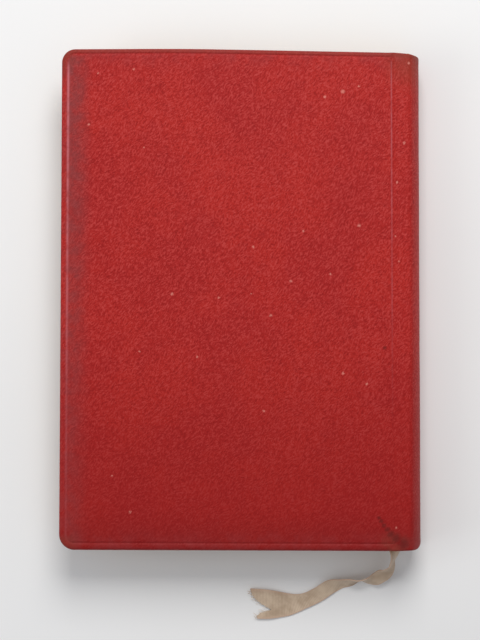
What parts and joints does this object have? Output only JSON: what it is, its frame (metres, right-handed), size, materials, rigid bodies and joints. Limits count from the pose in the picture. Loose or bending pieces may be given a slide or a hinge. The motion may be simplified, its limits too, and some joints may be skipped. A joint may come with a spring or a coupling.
{
  "type": "prayer book",
  "caption": "Small leather-bound prayer book with a rounded spine, sewn sections, hinged covers and a ribbon marker; opens flat at the marked page.",
  "frame": {"origin": "under the middle of the closed book, on the surface it lies on", "axes": "+X from fore-edge to spine, +Y from tail to head, +Z from front cover up to rear cover"},
  "size_m": [0.1004, 0.1584, 0.015],
  "materials": {
    "cover_leather": "worn pebble-grain leather with blind lines",
    "cover_board": "grey-brown binder's board",
    "endpaper": "cream endpaper",
    "leaves": "thin cream paper with dull gilt edges",
    "lining_paper": "kraft paper",
    "mull_cloth": "open-weave cotton",
    "tape_linen": "linen tape",
    "thread_linen": "linen thread",
    "band_silk": "striped silk headband",
    "ribbon_silk": "faded ribbed silk ribbon, frayed at the end"
  },
  "bodies": {
    "front_cover": {"front_cover_leather": "cover_leather", "front_cover_board": "cover_board", "front_pastedown": "endpaper"},
    "front_endleaf": {"front_flyleaf": "endpaper"},
    "lower_block": {"spine_leather_lower": "cover_leather", "spine_lining_lower": "lining_paper", "mull_lower": "mull_cloth", "tapes_lower": "tape_linen", "sewing_lower": "thread_linen", "headband_lower": "band_silk", "tailband_lower": "band_silk", "section_01": "leaves", "section_02": "leaves", "section_03": "leaves", "section_04": "leaves", "section_05": "leaves", "section_06": "leaves", "section_07": "leaves", "section_08": "leaves", "ribbon_inner": "ribbon_silk", "ribbon_tail": "ribbon_silk"},
    "upper_block": {"spine_leather_upper": "cover_leather", "spine_lining_upper": "lining_paper", "mull_upper": "mull_cloth", "tapes_upper": "tape_linen", "sewing_upper": "thread_linen", "headband_upper": "band_silk", "tailband_upper": "band_silk", "section_09": "leaves", "section_10": "leaves", "section_11": "leaves", "section_12": "leaves", "section_13": "leaves", "section_14": "leaves", "section_15": "leaves", "section_16": "leaves"},
    "rear_endleaf": {"rear_flyleaf": "endpaper"},
    "rear_cover": {"rear_cover_leather": "cover_leather", "rear_cover_board": "cover_board", "rear_pastedown": "endpaper"}
  },
  "joints": [
    {"name": "front_cover_hinge", "type": "hinge", "parent": "front_cover", "child": "lower_block", "pos_m": [0.04235, 0, 0], "axis": [0, 1, 0], "range_deg": [0, 90]},
    {"name": "front_flyleaf_turn", "type": "hinge", "parent": "front_cover", "child": "front_endleaf", "pos_m": [0.04235, 0, 0], "axis": [0, 1, 0], "range_deg": [0, 45]},
    {"name": "book_opening", "type": "hinge", "parent": "lower_block", "child": "upper_block", "pos_m": [0.05025, 0, 0.0075], "axis": [0, 1, 0], "range_deg": [0, 180]},
    {"name": "rear_cover_hinge", "type": "hinge", "parent": "upper_block", "child": "rear_cover", "pos_m": [0.04235, 0, 0.015], "axis": [0, 1, 0], "range_deg": [0, 90]},
    {"name": "rear_flyleaf_turn", "type": "hinge", "parent": "upper_block", "child": "rear_endleaf", "pos_m": [0.04235, 0, 0.015], "axis": [0, 1, 0], "range_deg": [0, 45]}
  ],
  "couplings": [
    {"joint": "front_flyleaf_turn", "follows": "front_cover_hinge", "ratio": 0.5},
    {"joint": "rear_flyleaf_turn", "follows": "rear_cover_hinge", "ratio": 0.5}
  ]
}
